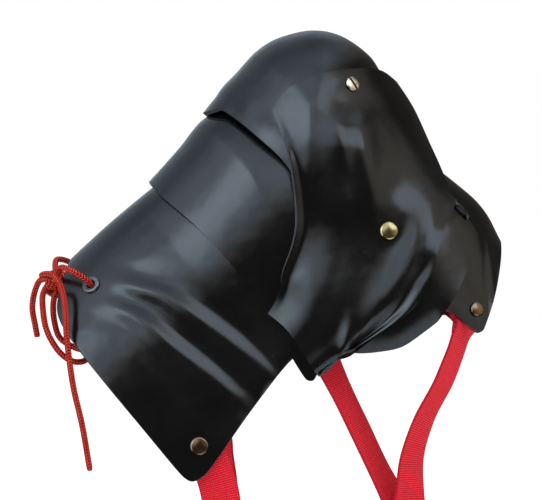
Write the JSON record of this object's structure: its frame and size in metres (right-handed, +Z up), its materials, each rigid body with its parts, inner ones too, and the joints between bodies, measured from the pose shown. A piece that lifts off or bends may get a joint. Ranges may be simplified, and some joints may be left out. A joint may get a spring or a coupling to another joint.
{
  "type": "winged poleyn",
  "caption": "Articulated black leather knee armour with a fluted side wing, red webbing straps and a red lacing cord.",
  "frame": {"origin": "middle of the wearer's knee, halfway between the side walls", "axes": "+Z up, +X forwards to the shin, the thigh runs to -X, the wing is on the -Y side"},
  "size_m": [0.3191, 0.1581, 0.4059],
  "materials": {
    "black_leather": "polished",
    "nickel": "polished",
    "steel": "dull",
    "red_cord": "braided",
    "red_webbing": "woven",
    "black_plastic": "moulded"
  },
  "bodies": {
    "cop": {"knee_cop": "black_leather", "wing": "black_leather", "wing_screw": "nickel", "wing_screw_barrel_nut": "nickel", "thigh_pivot_rivet_near_cap": "nickel", "thigh_pivot_rivet_near_post": "nickel", "thigh_pivot_rivet_far_cap": "nickel", "thigh_pivot_rivet_far_post": "nickel", "shin_pivot_rivet_near_cap": "nickel", "shin_pivot_rivet_near_post": "nickel", "shin_pivot_rivet_far_cap": "nickel", "shin_pivot_rivet_far_post": "nickel", "yoke_strap_near": "red_webbing", "yoke_strap_far": "red_webbing", "yoke_ring_near": "steel", "yoke_ring_far": "steel", "calf_strap_near": "red_webbing", "calf_strap_far": "red_webbing", "calf_buckle_socket": "black_plastic", "calf_buckle_plug": "black_plastic"},
    "lame": {"upper_lame": "black_leather"},
    "thigh": {"thigh_plate": "black_leather", "eyelet_near": "steel", "eyelet_near_washer": "steel", "eyelet_far": "steel", "eyelet_far_washer": "steel", "lacing_knot": "red_cord", "lacing_cord": "red_cord", "bow_loop": "red_cord", "lace_tail_long": "red_cord", "lace_tail_short": "red_cord", "thigh_strap_near": "red_webbing", "thigh_strap_far": "red_webbing", "thigh_buckle_socket": "black_plastic", "thigh_buckle_plug": "black_plastic", "thigh_strap_rivet_near_cap": "nickel", "thigh_strap_rivet_near_post": "nickel", "thigh_strap_rivet_far_cap": "nickel", "thigh_strap_rivet_far_post": "nickel"},
    "shin": {"shin_plate": "black_leather", "shin_strap_rivet_near_cap": "nickel", "shin_strap_rivet_near_post": "nickel", "shin_strap_rivet_far_cap": "nickel", "shin_strap_rivet_far_post": "nickel"}
  },
  "joints": [
    {"name": "lame_hinge", "type": "hinge", "parent": "cop", "child": "lame", "pos_m": [-0.0144, 0, -0.0861], "axis": [0, 1, 0], "range_deg": [-6, 4]},
    {"name": "thigh_hinge", "type": "hinge", "parent": "lame", "child": "thigh", "pos_m": [-0.0144, 0, -0.0861], "axis": [0, 1, 0], "range_deg": [-10, 3]},
    {"name": "shin_hinge", "type": "hinge", "parent": "cop", "child": "shin", "pos_m": [0.0342, 0, -0.02], "axis": [0, 1, 0], "range_deg": [-11, 5], "deforming": ["yoke_strap_near", "yoke_strap_far"]}
  ]
}
